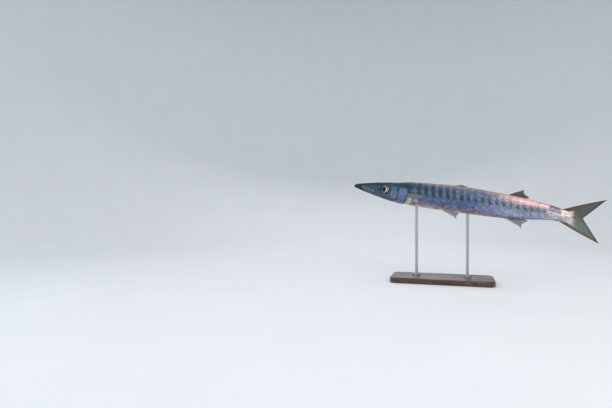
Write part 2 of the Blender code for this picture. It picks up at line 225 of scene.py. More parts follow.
def mouth_relief(share, down, x, z):
    """The cleft, with the upper lip a little over the lower one, and the bone of the upper jaw."""
    deep = (0.5 + 0.5 * ease(share, 0.016, 0.024)) * (1 - 0.8 * ease(share, 0.092, 0.119))
    cleft = 0.0014 * deep * ridge(from_cleft(x, z), 0.00040)
    below_lip = (down - mouth_down(share)) * half_girth(share)
    lips = 0.00065 * ridge(below_lip + 0.0016, 0.0013) - 0.00050 * ridge(below_lip - 0.0013, 0.0011)
    # The jaw bone has a shallow seam above it, and a crease that runs down from its rounded end
    seam = 0.00060 * ridge(below_lip + 0.0040 + 0.0018 * ease(share, 0.07, 0.11), 0.0007)
    crease = 0.00070 * ridge(x - along_curve(JAW_HINGE, z / BODY_LENGTH) * BODY_LENGTH, 0.0008)
    return (lips * plateau(share, 0.018, 0.026, 0.112, 0.122) - cleft
            - seam * plateau(share, 0.030, 0.045, 0.118, 0.128)
            - crease * plateau(-z, 0.0115, 0.0135, 0.0200, 0.0225))


def eye_relief(share, x, z):
    """The eye's socket and raised rim, the brow over it, the cheekbone below it and the nostrils."""
    out = from_spot(x, z)
    socket = 0.0024 * (1 - ease(out, *SOCKET_RADII))
    rim = (0.00030 + 0.00040 * ease(z - EYE[1], 0.0, 0.010)) * ridge(out - RIM_RADIUS, 0.0009)
    furrow = 0.00025 * ridge(out - FURROW_RADIUS, 0.0011)
    # The brow sinks a little as it runs forward to the nostrils
    brow = 0.00060 * ridge(z - EYE[1] - BROW_HEIGHT + (x - EYE[0]) * 0.08, 0.0018)
    above_bone = z - along_curve(CHEEKBONE, share) * BODY_LENGTH
    cheekbone = 0.00055 * ridge(above_bone - 0.0014, 0.0014) - 0.00050 * ridge(above_bone + 0.0004, 0.0007)
    amount = (rim - socket - furrow + brow * plateau(share, 0.095, 0.125, 0.185, 0.21)
              + cheekbone * plateau(share, 0.060, 0.080, 0.170, 0.185))
    for nostril in NOSTRILS:
        out = from_spot(x, z, nostril)
        amount += 0.00018 * ridge(out - 0.0018, 0.0006) - 0.0009 * ridge(out, 0.0009)
    return amount


def gill_relief(share, down, x, z):
    """The cheek's muscle and plate, the gill cover's free edge, and the root of the pectoral fin."""
    muscle = 0.0008 * ridge(share - 0.197, 0.020) * ridge(down - 0.60, 0.13)
    cheek, gill = behind_cheek(share, down), behind_gill(share, down)
    cheek_band = plateau(down, 0.24, 0.34, 0.84, 0.92)
    plate = rear_edge(cheek, 0.00050, 0.009, 0.00020, 0.010) * cheek_band
    cover = rear_edge(gill, 0.0014, 0.011, 0.0002, 0.016) * ease(down, 0.15, 0.23)
    # A low fan of bony ribs on the gill cover
    fan = ease(cheek, 0.004, 0.012) * (1 - ease(gill, -0.012, -0.004)) * cheek_band
    ribs = 0.00010 * fan * np.sin((down + (share - 0.23) * 2.5) * 130)
    root = ridge(x - PECTORAL_ROOT[0], 0.0050) * ridge(z - PECTORAL_ROOT[1], 0.0052)
    return muscle + plate + cover + ribs + 0.0013 * root


def throat_relief(share, down):
    """The gill membranes' edges, which run forward to a point, the jaw's two bones and the skull's."""
    membrane = 0.0008 * ridge((down - 0.930 - (0.262 - share) * 0.69) * half_girth(share), 0.0006)
    ribs = 0.00015 * ease(down, 0.86, 0.88) * np.sin(down * 260 + share * 60)
    jaw_bone = 0.0005 * ridge(down - 0.86, 0.035) - 0.0007 * ease(down, 0.92, 0.96)
    skull = 0.0004 * ridge(down - 0.16, 0.028) - 0.0003 * (1 - ease(down, 0.03, 0.10))
    return (ribs * plateau(share, 0.17, 0.19, 0.25, 0.262)
            - membrane * plateau(share, 0.155, 0.175, 0.258, 0.266)
            + jaw_bone * plateau(share, 0.02, 0.04, 0.135, 0.165)
            + skull * plateau(share, 0.05, 0.09, 0.20, 0.24))


def relief(share, down):
    """How far the skin stands out from the plain body, in metres, at each point of either side. Heights
    and widths of the features are in metres too, and where they lie is in shares."""
    x, _, z = on_body(share, down * math.pi).T
    return (mouth_relief(share, down, x, z) + eye_relief(share, x, z) + gill_relief(share, down, x, z)
            + throat_relief(share, down))


def finished(build, name):
    """A mesh of what a bmesh holds, which is let go."""
    mesh = bpy.data.meshes.new(name)
    build.to_mesh(mesh)
    build.free()
    return mesh


def points_of(mesh):
    """A mesh's points as rows of x, y and z."""
    points = np.empty(len(mesh.vertices) * 3, np.float32)
    mesh.vertices.foreach_get("co", points)
    return points.reshape(-1, 3).astype(float)


def new_mesh_object(name, mesh):
    made = bpy.data.objects.new(name, mesh)
    bpy.context.scene.collection.objects.link(made)
    return made


def place_verts(mesh, places):
    """Puts a mesh's points at places given in the fish's own axes."""
    turned = places @ np.array(POSE.to_3x3()).T + np.array(POSE.translation)
    mesh.vertices.foreach_set("co", turned.astype(np.float32).ravel())
    mesh.update()


def note(mesh, **numbers):
    """Numbers at each point of a mesh, for a material to read."""
    for name, values in numbers.items():
        mesh.attributes.new(name, "FLOAT", "POINT").data.foreach_set("value", values.astype(np.float32))


def close_up(mesh):
    """Merges a mesh's doubles, fills its holes and turns its faces outwards."""
    build = bmesh.new()
    build.from_mesh(mesh)
    bmesh.ops.remove_doubles(build, verts=build.verts, dist=0.00001)
    bmesh.ops.holes_fill(build, edges=build.edges)
    build.normal_update()
    bmesh.ops.recalc_face_normals(build, faces=build.faces)
    build.to_mesh(mesh)
    build.free()


# The column that follows the mouth line, the rings that follow the plates' edges, the share of the
# length over which each of those bends the rings near it, and how far it may shift them
MOUTH_COLUMN, SKIN_SIDES = 0.60, 200
GILL_RING, CHEEK_RING, GILL_REACH, CHEEK_REACH, MOST_SHIFT = 0.2745, 0.2270, 0.036, 0.040, 0.020
SKIN_RINGS = np.concatenate([
    np.linspace(start, end, count, endpoint=end == 1.0) for start, end, count in (
        (0.0, 0.022, 44), (0.022, 0.130, 108), (0.130, CHEEK_RING, 86), (CHEEK_RING, GILL_RING, 48),
        (GILL_RING, 0.310, 40), (0.310, 0.960, 92), (0.960, 1.0, 20))
])
build = bmesh.new()
bmesh.ops.create_grid(build, x_segments=len(SKIN_RINGS) - 1, y_segments=SKIN_SIDES, size=1.0)
unwrap = build.loops.layers.uv.new("OFBake")
for face in build.faces:
    for loop in face.loops:
        loop[unwrap].uv = ((loop.vert.co.x + 1) / 2, (loop.vert.co.y + 1) / 2)
skin_mesh = finished(build, "skin")

grid = (points_of(skin_mesh) + 1) / 2
ring = np.interp(grid[:, 0], np.linspace(0, 1, len(SKIN_RINGS)), SKIN_RINGS)
way = np.where(grid[:, 1] <= 0.5, 1.0, -1.0)
column = 1 - np.abs(2 * grid[:, 1] - 1)
# The columns bend towards the mouth line, and the rings towards the gill opening and the cheek's edge
lips = MOUTH_COLUMN + (mouth_down(ring) - MOUTH_COLUMN) * (1 - ease(ring, 0.118, 0.190))
down = np.where(column < MOUTH_COLUMN, column * lips / MOUTH_COLUMN,
                1 - (1 - column) * (1 - lips) / (1 - MOUTH_COLUMN))
share = ring.copy()
for middle, downs, shares, reach in ((GILL_RING, GILL_DOWN, GILL_SHARE, GILL_REACH),
                                     (CHEEK_RING, CHEEK_DOWN, CHEEK_SHARE, CHEEK_REACH)):
    shift = np.clip(np.interp(down, downs, shares) - middle, -MOST_SHIFT, MOST_SHIFT)
    share += shift * (1 - ease(np.abs(ring - middle), 0, reach))
share = np.clip(share, 0, 1)
turn = down * math.pi * way
stand_out = relief(share, down)
drop = np.minimum(SKIN_DEPTH, girth_axes(share)[2] * DEEPEST_SHARE)
places = on_body(share, turn) + outward(share, turn) * (stand_out - drop)[:, None]
places[ring < 1e-4] = places[ring < 1e-4].mean(0)
place_verts(skin_mesh, places)
# The distances from lip, cleft and eye are in millimetres, and the cleft's painted shade fades to its
# corner
x, _, z = on_body(share, turn).T
note(skin_mesh, along=share, down=down, gill=behind_gill(share, down), cheek=behind_cheek(share, down),
     lip=(down - mouth_down(share)) * half_girth(share) * 1000, eye=from_spot(x, z) * 1000,
     cleft=from_cleft(x, z) * 1000 + 0.5 * ease(share, 0.092, 0.121))
close_up(skin_mesh)
skin_mesh.shade_smooth()
skin = new_mesh_object("skin", skin_mesh)


# The colours of the skin and scales, painted from where a point lies along and down the fish: silver
# blue with a painted pink highlight along the back, narrow dark bars over the upper side, a tan belly,
# and a dark head with pale gill plates. The nodes read the notes that each mesh carries.
def colour(red, green, blue):
    """A colour given as 0 to 255 on a screen, as the shader's own numbers."""
    return (*(((c / 255 + 0.055) / 1.055) ** 2.4 if c > 10 else c / 3294 for c in (red, green, blue)), 1.0)


def new_material(name):
    """A material, the tree of its nodes, and the shader that they feed."""
    material = bpy.data.materials.new(name)
    material.use_nodes = True
    return material, material.node_tree, material.node_tree.nodes["Principled BSDF"]


def feed(made, inputs):
    """Sets each input of a node to a value, or links it to what another node puts out."""
    for key, value in inputs.items():
        if isinstance(value, bpy.types.NodeSocket):
            made.id_data.links.new(value, made.inputs[key])
        else:
            made.inputs[key].default_value = value


def node(tree, kind, inputs=None, **settings):
    """A shader node with its settings and its inputs."""
    made = tree.nodes.new("ShaderNode" + kind)
    for key, value in settings.items():
        setattr(made, key, value)
    feed(made, inputs or {})
    return made


def tree_of(*values):
    """The tree of the first value that another node puts out."""
    return next(value.id_data for value in values if isinstance(value, bpy.types.NodeSocket))


def maths(operation, *values):
    return node(tree_of(*values), "Math", dict(enumerate(values)), operation=operation).outputs[0]


def times(*values):
    """The product of several shares."""
    made = values[0]
    for value in values[1:]:
        made = maths("MULTIPLY", made, value)
    return made


def between(value, low, high, start=0.0, end=1.0):
    """start below low, end above high, and smooth between."""
    inputs = {"Value": value, "From Min": low, "From Max": high, "To Min": start, "To Max": end}
    return node(tree_of(value), "MapRange", inputs, interpolation_type="SMOOTHSTEP").outputs[0]


def band(value, low, high, soft):
    """1 between low and high, with soft edges."""
    return times(between(value, low - soft, low), between(value, high, high + soft, 1.0, 0.0))


def shaken(value, noise, by):
    """A value moved up and down by a noise that lies about 0.5."""
    return maths("MULTIPLY_ADD", noise, by, maths("SUBTRACT", value, by / 2))


def laid(share, under, over, mode="MIX"):
    """One colour laid over another by a share. Each is a node's output, or 0 to 255 as on a screen."""
    under, over = (colour(*shade) if isinstance(shade, tuple) else shade for shade in (under, over))
    made = node(tree_of(share, under, over), "Mix", {0: share, 6: under, 7: over}, data_type="RGBA",
                blend_type=mode)
    return made.outputs[2]


def ramp(value, stops):
    """A shader's colour for each value, smooth between (value, colour) stops."""
    made = node(tree_of(value), "ValToRGB", {"Fac": value})
    elements = made.color_ramp.elements
    elements[0].position, elements[1].position = stops[0][0], stops[-1][0]
    elements[0].color, elements[1].color = stops[0][1], stops[-1][1]
    for position, shade in stops[1:-1]:
        elements.new(position).color = shade
    return made.outputs[0]


def stepped(value, stops):
    """A colour for each value, smooth between stops of a value and a colour of 0 to 255."""
    return ramp(value, [(position, colour(*shade)) for position, shade in stops])


def noted(tree, name):
    return node(tree, "Attribute", attribute_name=name).outputs["Fac"]


def mottle(tree, scale, detail=3.0, stretch=(1, 1, 1)):
    """Noise in the object's own space, about 0.5, with blotches stretched along the axes."""
    space = node(tree, "TexCoord").outputs["Object"]
    place = node(tree, "Mapping", {0: space, "Scale": stretch}).outputs[0]
    return node(tree, "TexNoise", {"Vector": place, "Scale": scale, "Detail": detail}).outputs["Fac"]


def tinged(share, under, tints, scale):
    """Uneven light: patches of one tint and of another, about mid grey, overlaid by a share."""
    one, other = tints
    stops = ((0.34, (*one, 1)), (0.5, (0.5, 0.5, 0.5, 1)), (0.66, (*other, 1)))
    return laid(share, under, ramp(mottle(tree_of(under), scale, 4.0), stops), "OVERLAY")


def bumps(strength, distance, height):
    """The normals of a surface that rises and falls with a height, by up to a distance in metres."""
    inputs = {"Strength": strength, "Distance": distance, "Height": height}
    return node(tree_of(height), "Bump", inputs).outputs[0]


OLIVE_OR_VIOLET = ((0.41, 0.50, 0.37), (0.58, 0.48, 0.66))
OLIVE_OR_WARM = ((0.41, 0.50, 0.37), (0.66, 0.52, 0.42))
DULL_OR_BRIGHT = ((0.29, 0.33, 0.38), (0.72, 0.69, 0.65))
# The bars: where the first stands, how many to a body length there, and how they close up behind
FIRST_BAR, BARS_PER_LENGTH, BARS_CLOSING = 0.3613, 27.6, 4.8
# How far down they lean from, how much they lean and bow, and how far blotches shift them
LEAN_FROM, BAR_LEAN, BAR_BOW, BAR_SHIFT = 0.30, 0.014, 0.16, 0.014
# Noise scales of the hide's blotches, flecks, pores, grain and low folds
BLOTCHES, FLECKS, PORES, GRAIN, FOLDS = 60.0, 260.0, 700.0, 1100.0, 240.0


def body_colours(along, down, blotch):
    """Colours behind the head: the bands down the side, one a painted highlight, then the bars over them.
    """
    wander = shaken(down, blotch, 0.10)
    # The pale pink band high on the side is a painted highlight
    front = stepped(wander, (
        (0.00, (64, 68, 72)), (0.06, (132, 118, 114)), (0.145, (126, 114, 116)), (0.25, (68, 85, 107)),
        (0.335, (52, 77, 100)), (0.44, (60, 86, 112)), (0.53, (80, 98, 130)), (0.64, (84, 90, 126)),
        (0.75, (126, 116, 142)), (0.86, (194, 170, 158)), (1.00, (196, 174, 150)),
    ))
    # The painted highlight along the back starts as a thin streak and widens towards the tail
    rear = stepped(maths("ADD", wander, between(along, 0.60, 0.79, 0.07, 0.0)), (
        (0.00, (104, 96, 100)), (0.06, (188, 160, 158)), (0.145, (196, 166, 162)),
        (0.25, (226, 182, 174)), (0.335, (176, 144, 156)), (0.405, (110, 114, 124)),
        (0.468, (112, 126, 138)), (0.55, (126, 140, 158)), (0.66, (144, 148, 180)),
        (0.75, (158, 148, 178)), (0.86, (118, 114, 134)), (1.00, (100, 98, 110)),
    ))
    ahead = maths("MULTIPLY_ADD", between(down, 0.36, 0.50), 0.055, along)
    sides = laid(between(ahead, 0.61, 0.81), front, rear)
    # Each bar leans and bows backwards a little on its way down, and no two are quite alike
    middle = maths("SUBTRACT", down, LEAN_FROM)
    lean = maths("MULTIPLY_ADD", middle, BAR_LEAN, times(middle, middle, BAR_BOW))
    leaned = shaken(maths("SUBTRACT", along, lean), blotch, BAR_SHIFT)
    pace = maths("MULTIPLY_ADD", along, BARS_CLOSING, BARS_PER_LENGTH)
    count = times(maths("SUBTRACT", leaned, FIRST_BAR), pace)
    wave = maths("COSINE", times(count, 2 * math.pi))
    reach = shaken(down, blotch, 0.14)
    # They hang lower towards the tail, clear of the painted highlight along the back there
    hang = maths("MINIMUM", maths("MULTIPLY_ADD", along, 0.56, -0.028), 0.330)
    below_top = maths("SUBTRACT", reach, hang)
    belt = times(between(reach, 0.44, 0.53, 1.0, 0.0), between(along, 0.302, 0.318),
                 between(along, 0.60, 0.97, 0.90, 0.40))
    # A painted pale blue highlight between the bars, from their tops down
    bar_gap_highlight = times(belt, between(wave, -0.75, 0.0, 0.11, 0.0), between(below_top, -0.08, 0.02))
    sides = laid(bar_gap_highlight, sides, (134, 154, 204))
    # Their tops are blue and faint, their lower ends olive black
    bars = times(belt, between(wave, -0.35, 0.55), between(below_top, -0.06, 0.10, 0.20, 0.88))
    barred = laid(bars, sides, laid(between(below_top, 0.0, 0.13), (36, 56, 84), (34, 42, 36)))
    # The nape, dark as the head is
    nape = times(between(along, 0.284, 0.304, 1.0, 0.0), between(reach, 0.34, 0.46, 0.9, 0.0))
    saddle = times(between(along, 0.30, 0.41, 0.78, 0.0), band(reach, 0.18, 0.34, 0.05))
    barred = laid(maths("MAXIMUM", nape, saddle), barred, (28, 52, 64))
    # The shoulder: dark olive above the pectoral fin, mauve low behind it, and pale tan round its root
    patch = times(band(along, 0.270, 0.290, 0.010), band(reach, 0.29, 0.485, 0.05), 0.88)
    barred = laid(patch, barred, (42, 50, 46))
    patch = times(band(along, 0.298, 0.318, 0.012), between(reach, 0.70, 0.78, 0.0, 0.55))
    barred = laid(patch, barred, (106, 78, 84))
    patch = maths("MAXIMUM", times(band(along, 0.260, 0.292, 0.014), band(reach, 0.62, 0.90, 0.10), 0.80),
                  times(band(along, 0.288, 0.326, 0.014), band(reach, 0.54, 0.68, 0.05), 0.68))
    barred = laid(patch, barred, (188, 178, 164))
    # The tail's root: a painted highlight, cream above and lilac below, breaking up forwards
    broken = shaken(along, blotch, 0.10)
    wedge = maths("MULTIPLY_ADD", band(wander, 0.43, 0.51, 0.06), 0.027, -0.009)
    root = between(maths("ADD", broken, wedge), 0.905, 0.988, 0.0, 0.92)
    low = times(between(broken, 0.845, 1.0, 0.0, 0.92), between(wander, 0.44, 0.54))
    barred = laid(maths("MAXIMUM", root, low), barred, stepped(wander, (
        (0.00, (130, 120, 124)), (0.20, (216, 190, 170)), (0.36, (238, 212, 192)), (0.468, (254, 248, 230)),
        (0.56, (190, 183, 178)), (0.66, (200, 188, 194)), (0.80, (180, 166, 178)), (1.00, (160, 150, 156)),
    )))
    # A violet smudge across the back just before it
    smudge = times(band(broken, 0.938, 0.954, 0.022), between(reach, 0.40, 0.50, 1.0, 0.0),
                   between(reach, 0.24, 0.34, 0.88, 0.60))
    return laid(smudge, barred, laid(between(reach, 0.22, 0.32), (70, 64, 86), (100, 90, 112)))


def head_colours(tree, along, down, blotch, fleck):
    """Colours of the head: dark slate above, blue cheeks, lavender gill plates, pale jaw patches."""
    wander = shaken(down, blotch, 0.12)
    base = stepped(wander, (
        (0.00, (10, 32, 42)), (0.22, (18, 50, 64)), (0.36, (34, 68, 88)), (0.48, (27, 57, 79)),
        (0.62, (66, 84, 114)), (0.76, (70, 82, 106)), (0.90, (78, 94, 110)), (1.00, (78, 90, 100)),
    ))
    snout = stepped(wander, (
        (0.00, (8, 28, 38)), (0.24, (10, 50, 66)), (0.45, (14, 54, 72)), (0.66, (10, 40, 54)),
        (1.00, (12, 36, 48)),
    ))
    base = laid(between(along, 0.06, 0.17), snout, base)
    cheek, gill, lip = noted(tree, "cheek"), noted(tree, "gill"), noted(tree, "lip")
    # A painted highlight on the cheek, blue above and pink below, and flecks of pale skin before and under
    # the eye
    cheek_highlight = times(band(along, 0.204, 0.220, 0.015), band(down, 0.38, 0.68, 0.07), 0.50)
    base = laid(cheek_highlight, base, laid(between(down, 0.44, 0.58), (72, 100, 130), (132, 124, 142)))
    flecks = times(between(fleck, 0.54, 0.66), band(along, 0.060, 0.215, 0.03),
                   band(down, 0.40, 0.80, 0.10), 0.45)
    base = laid(flecks, base, (128, 138, 150))
    # Gill plate: nearly black above, lavender in the middle, greyer and then pink below
    plate = times(between(cheek, 0.002, 0.008), between(down, 0.20, 0.34))
    plate_colour = stepped(wander, (
        (0.22, (2, 22, 30)), (0.33, (24, 58, 79)), (0.41, (58, 92, 132)), (0.50, (64, 94, 132)),
        (0.66, (80, 94, 124)), (0.78, (62, 70, 92)), (0.90, (130, 120, 124)), (1.00, (136, 128, 126)),
    ))
    pale = times(fleck, between(down, 0.34, 0.48, 0.0, 0.45))
    base = laid(plate, base, laid(pale, plate_colour, (128, 136, 172)))
    edge = times(band(cheek, -0.0050, 0.0030, 0.0040), band(down, 0.26, 0.82, 0.08))
    strong = maths("MAXIMUM", between(down, 0.42, 0.54, 0.75, 0.0),
                   times(band(down, 0.635, 0.70, 0.035), 0.60))
    base = laid(times(edge, strong), base, (34, 54, 60))
    rim = times(band(gill, -0.0035, 0.001, 0.0025), band(down, 0.20, 0.80, 0.08), 0.70)
    base = laid(rim, base, (48, 50, 52))
    # A pale patch on the rear of the upper jaw, and pinkish skin along the lower one
    jaw = times(band(along, 0.050, 0.100, 0.012), band(lip, -4.6, -0.7, 1.3),
                between(fleck, 0.35, 0.6, 0.30, 0.75))
    base = laid(jaw, base, (112, 126, 138))
    chin = times(band(along, 0.060, 0.150, 0.02), band(lip, 1.0, 8.0, 1.5), 0.55)
    base = laid(chin, base, laid(fleck, (66, 86, 98), (122, 114, 120)))
    # Painted shade round the eye's socket and in the mouth's cleft
    base = laid(between(noted(tree, "eye"), 13.2, 15.5, 0.75, 0.0), base, (22, 30, 36))
    return laid(between(noted(tree, "cleft"), 0.25, 0.75, 0.95, 0.0), base, (14, 16, 18))


def hide_material(name, scaly):
    """The fish's own finish. scaly adds what the loose scales show beyond the skin."""
    material, tree, shader = new_material(name)
    along, down, gill = noted(tree, "along"), noted(tree, "down"), noted(tree, "gill")
    blotch, fleck = mottle(tree, BLOTCHES), mottle(tree, FLECKS, 4.0)
    body = body_colours(along, down, blotch)
    head = head_colours(tree, along, down, blotch, fleck)
    # Head and body part sharply at the gill opening, and fade into each other across the nape
    parting = times(gill, between(down, 0.10, 0.22, 0.12, 1.0))
    painted = laid(between(parting, -0.001, 0.003), head, body)
    # Glints, calmer at the tail's root, and broader patches of dull and bright silver on the lower flank
    painted = tinged(between(along, 0.86, 0.94, 1.0, 0.6), painted, OLIVE_OR_VIOLET, 150.0)
    painted = tinged(1.0, painted, DULL_OR_BRIGHT, 380.0)
    painted = tinged(between(down, 0.48, 0.60), painted, DULL_OR_BRIGHT, 105.0)
    # Violet and pale specks break up the painted highlight over the rear half of the back
    upper = times(band(down, 0.12, 0.40, 0.05), between(along, 0.42, 0.60))
    painted = laid(times(upper, between(fleck, 0.59, 0.66), 0.8), painted, (104, 72, 124))
    pale = times(upper, between(fleck, 0.34, 0.41, 0.28, 0.0))
    painted = laid(pale, painted, (204, 200, 212))
    if scaly:
        flake, rim = noted(tree, "flake"), noted(tree, "rim")
        value = times(between(flake, 0.0, 1.0, 0.80, 1.20), between(rim, 0.60, 1.0, 1.05, 0.78),
                      between(noted(tree, "line"), 0.0, 1.0, 1.0, 1.22))
        painted = node(tree, "HueSaturation", {
            "Hue": between(flake, 0.0, 1.0, 0.488, 0.512), "Color": painted, "Value": value}).outputs[0]
    else:
        pores = between(mottle(tree, PORES, 2.0), 0.56, 0.66, 0.0, 0.5)
        painted = laid(pores, painted, (24, 32, 38))
    grain = maths("ADD", mottle(tree, GRAIN), mottle(tree, FOLDS, 2.0))
    feed(shader, {
        "Base Color": painted, "Roughness": between(fleck, 0.3, 0.7, 0.34, 0.50), "Metallic": 0.35,
        "Specular IOR Level": 0.4 if scaly else 0.25, "Coat Weight": 0.12, "Coat Roughness": 0.18,
        "Normal": bumps(0.35, 0.0004, grain),
    })
    return material


skin_mesh.materials.append(hide_material("wet_skin", scaly=False))
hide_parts("head", "upper_jaw", "lower_jaw", "gill_cover_left", "gill_cover_right", "trunk", "tail")
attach(skin, "root")


# The scales. Thin round-ended plates rooted in the skin and lying back over each other like tiles, big
# on the flanks, small on the cheeks and towards the tail. One plate is arrayed and each copy is then
# wrapped round the body at its own root.
DOME_HEIGHT, DOME_BACK, SCALE_THICK, ROOT_WIDTH = 0.06, 0.05, 0.035, 0.8


def one_scale():
    """A plate one unit long and wide, domed, thick enough to be solid, its round end to the rear."""
    build = bmesh.new()
    bmesh.ops.create_circle(build, cap_ends=True, cap_tris=True, segments=10, radius=0.5)
    for vert in build.verts:
        if vert.co.length < 0.1:
            vert.co = Vector((DOME_BACK, 0, DOME_HEIGHT))
        vert.co.x += 0.5
        if vert.co.x < 0.25:
            vert.co.y *= ROOT_WIDTH
    bmesh.ops.solidify(build, geom=build.faces, thickness=SCALE_THICK)
    build.normal_update()
    bmesh.ops.recalc_face_normals(build, faces=build.faces)
    mesh = finished(build, "one_scale")
    mesh.shade_smooth()
    mesh.set_sharp_from_angle(angle=math.radians(50))
    return mesh


SCALE = one_scale()
SCALE_TILT, ROOT_SUNK, KEEL_WIDTH = 0.085, 0.00012, 0.16
# How unlike each other the scales are in turn, size and tilt
SPIN_SPREAD, SIZE_SPREAD, TILT_SPREAD = 0.035, 0.03, 0.010
# So many millimetres from lip, cleft and eye that none of them colours a scale
FAR_AWAY = 20.0
# A scale's patch as a share of its bake map, and the shares of the fish's length that the map is long
PATCH, UNWRAP_LENGTH = 0.003, 1.04


def scale_piece(name, share, down, way, long, wide, keel, seed):
    """One joined mesh of scales, rooted at shares and downs on a side. long and wide are their sizes in
    metres, and keel the height of the tube that the lateral line's scales carry."""
    single = new_mesh_object("single", SCALE)
    copies = single.modifiers.new("copies", "ARRAY")
    copies.fit_type = "FIXED_COUNT"
    copies.count = len(share)
    copies.use_relative_offset = False
    copies.use_constant_offset = True
    copies.constant_offset_displace = (0, 0, 0)
    mesh = bpy.data.meshes.new_from_object(single.evaluated_get(bpy.context.evaluated_depsgraph_get()))
    bpy.data.objects.remove(single)

    count, per = len(share), len(SCALE.vertices)
    local = points_of(SCALE)[None]
    chance = np.random.default_rng(seed)
    spin = chance.normal(0, SPIN_SPREAD, count)[:, None]
    size = chance.normal(1, SIZE_SPREAD, count)[:, None]
    tilt = SCALE_TILT + chance.normal(0, TILT_SPREAD, count)[:, None]
    back = (local[..., 0] - local[..., 1] * spin) * long[:, None] * size
    over = (local[..., 1] + local[..., 0] * spin) * wide[:, None] * size
    vert_share = share[:, None] + back / BODY_LENGTH
    vert_down = np.clip(down[:, None] + over / half_girth(share)[:, None], -0.02, 1.02)
    high = local[..., 2] * long[:, None] + tilt * back - ROOT_SUNK
    high += keel[:, None] * ridge(local[..., 1], KEEL_WIDTH)
    flat_share, flat_down = vert_share.ravel(), vert_down.ravel()
    flat_turn = flat_down * math.pi * way
    lift = np.repeat(relief(share, down), per) + high.ravel() - SKIN_DEPTH
    place_verts(mesh, on_body(flat_share, flat_turn) + outward(flat_share, flat_turn) * lift[:, None])
    far = np.full(count * per, FAR_AWAY)
    from_middle = np.hypot(local[..., 0] - 0.5, local[..., 1]) * 2
    note(mesh, along=flat_share, down=flat_down, lip=far, cleft=far, eye=far,
         gill=np.repeat(behind_gill(share, down), per), cheek=np.repeat(behind_cheek(share, down), per),
         flake=np.repeat(chance.random(count), per), line=np.repeat(keel / LINE_KEEL, per),
         rim=np.broadcast_to(from_middle, (count, per)).ravel())
    # Each scale's patch of the bake map lies at its root on an unwrap of the skin: along it and round it
    patch = np.stack([share[:, None] / UNWRAP_LENGTH + (local[..., 0] - 0.5) * PATCH,
                      (down * way)[:, None] / 2 % 1 + local[..., 1] * PATCH], -1).reshape(-1, 2)
    corners = np.empty(len(mesh.loops), np.int32)
    mesh.loops.foreach_get("vertex_index", corners)
    unwrap = np.clip(patch, 0, 1)[corners].astype(np.float32)
    mesh.uv_layers.new(name="OFBake").data.foreach_set("uv", unwrap.ravel())
    mesh.materials.clear()
    mesh.materials.append(scale_material)
    if way < 0:
        mesh.flip_normals()
    made = new_mesh_object(name, mesh)
    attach(made, "root")


def every_root(rows, columns):
    """The row and the column of each scale's root."""
    return np.divmod(np.arange(rows * len(columns)), len(columns))


scale_material = hide_material("silver_scales", scaly=True)
SCALE_ROWS, LINE_ROW, LINE_KEEL = 46, 19, 0.00030
SCALE_SPACING, SPACING_GIRTH = 0.00345, 0.075
# A scale's length and width, as multiples of the spacing along and down, and the least size it starts at
OVERLAP_LONG, OVERLAP_WIDE, SMALLEST = 1.75, 2.25, 0.55
SCALES_FROM, SCALES_TO, LINE_TO = 0.232, 1.006, 0.985
# Where they begin on the nape and how that slants, how far behind the gill cover they begin below it,
# how unevenly they end, and the shares of the length over which they grow and dwindle
NAPE_DOWN, NAPE_FROM, NAPE_SLANT, BEHIND_GILL, RAGGED_END = 0.13, 0.236, 0.10, 0.0008, 0.005
GROW_OVER, DWINDLE_OVER = 0.009, 0.018
columns = [SCALES_FROM]
while columns[-1] < SCALES_TO:
    girth = float(half_girth(np.array([columns[-1]]))[0])
    columns.append(columns[-1] + SCALE_SPACING * (girth / SPACING_GIRTH) ** 0.55)
columns = np.array(columns)
steps = np.diff(columns, append=columns[-1])
steps[-1] = steps[-2]
row, index = every_root(SCALE_ROWS, columns)
root_down = (row + 0.5) / SCALE_ROWS
root_share = columns[index] + np.where(row % 2, 0.5, 0.0) * steps[index]
begun = np.where(root_down < NAPE_DOWN, root_share - NAPE_FROM - root_down * NAPE_SLANT,
                 behind_gill(root_share, root_down) - BEHIND_GILL)
left_over = SCALES_TO - root_share - RAGGED_END * np.random.default_rng(2).random(len(root_share))
clear = (begun > 0) & (left_over > 0)
growth = np.minimum(begun / GROW_OVER, left_over / DWINDLE_OVER)
grown = SMALLEST + (1 - SMALLEST) * np.clip(growth, 0, 1)
keel = np.where((row == LINE_ROW) & (root_share < LINE_TO), LINE_KEEL, 0.0)
for label, way in (("left", 1), ("right", -1)):
    for part, top, bottom in (("upper", 0.0, 0.34), ("middle", 0.34, 0.67), ("lower", 0.67, 1.0)):
        keep = clear & (root_down >= top) & (root_down < bottom)
        scale_piece(f"scales_{label}_{part}", root_share[keep], root_down[keep], way,
                    steps[index][keep] * BODY_LENGTH * OVERLAP_LONG * grown[keep],
                    half_girth(root_share[keep]) / SCALE_ROWS * OVERLAP_WIDE * grown[keep], keel[keep],
                    11 + way + len(part))

# Smaller scales over the cheek and the gill cover, which dwindle towards the plates' edges and the eye
CHEEK_SPACING, CHEEK_ROWS, CHEEK_TOP, CHEEK_DEEP = 0.0031, 44, 0.25, 0.62
CHEEK_SCALE_LONG, CHEEK_SCALE_WIDE = 0.0031, 0.0028
EYE_CLEARANCE, PLATE_CLEARANCE, PLATE_START = 0.0172, 0.0062, 0.0018
cheek_columns = np.arange(0.166, 0.282, CHEEK_SPACING)
row, index = every_root(CHEEK_ROWS, cheek_columns)
root_down = CHEEK_TOP + (row + 0.5) / CHEEK_ROWS * CHEEK_DEEP
root_share = cheek_columns[index] + np.where(row % 2, CHEEK_SPACING / 2, 0.0)
x, _, z = on_body(root_share, root_down * math.pi).T
edge_gap = behind_cheek(root_share, root_down)
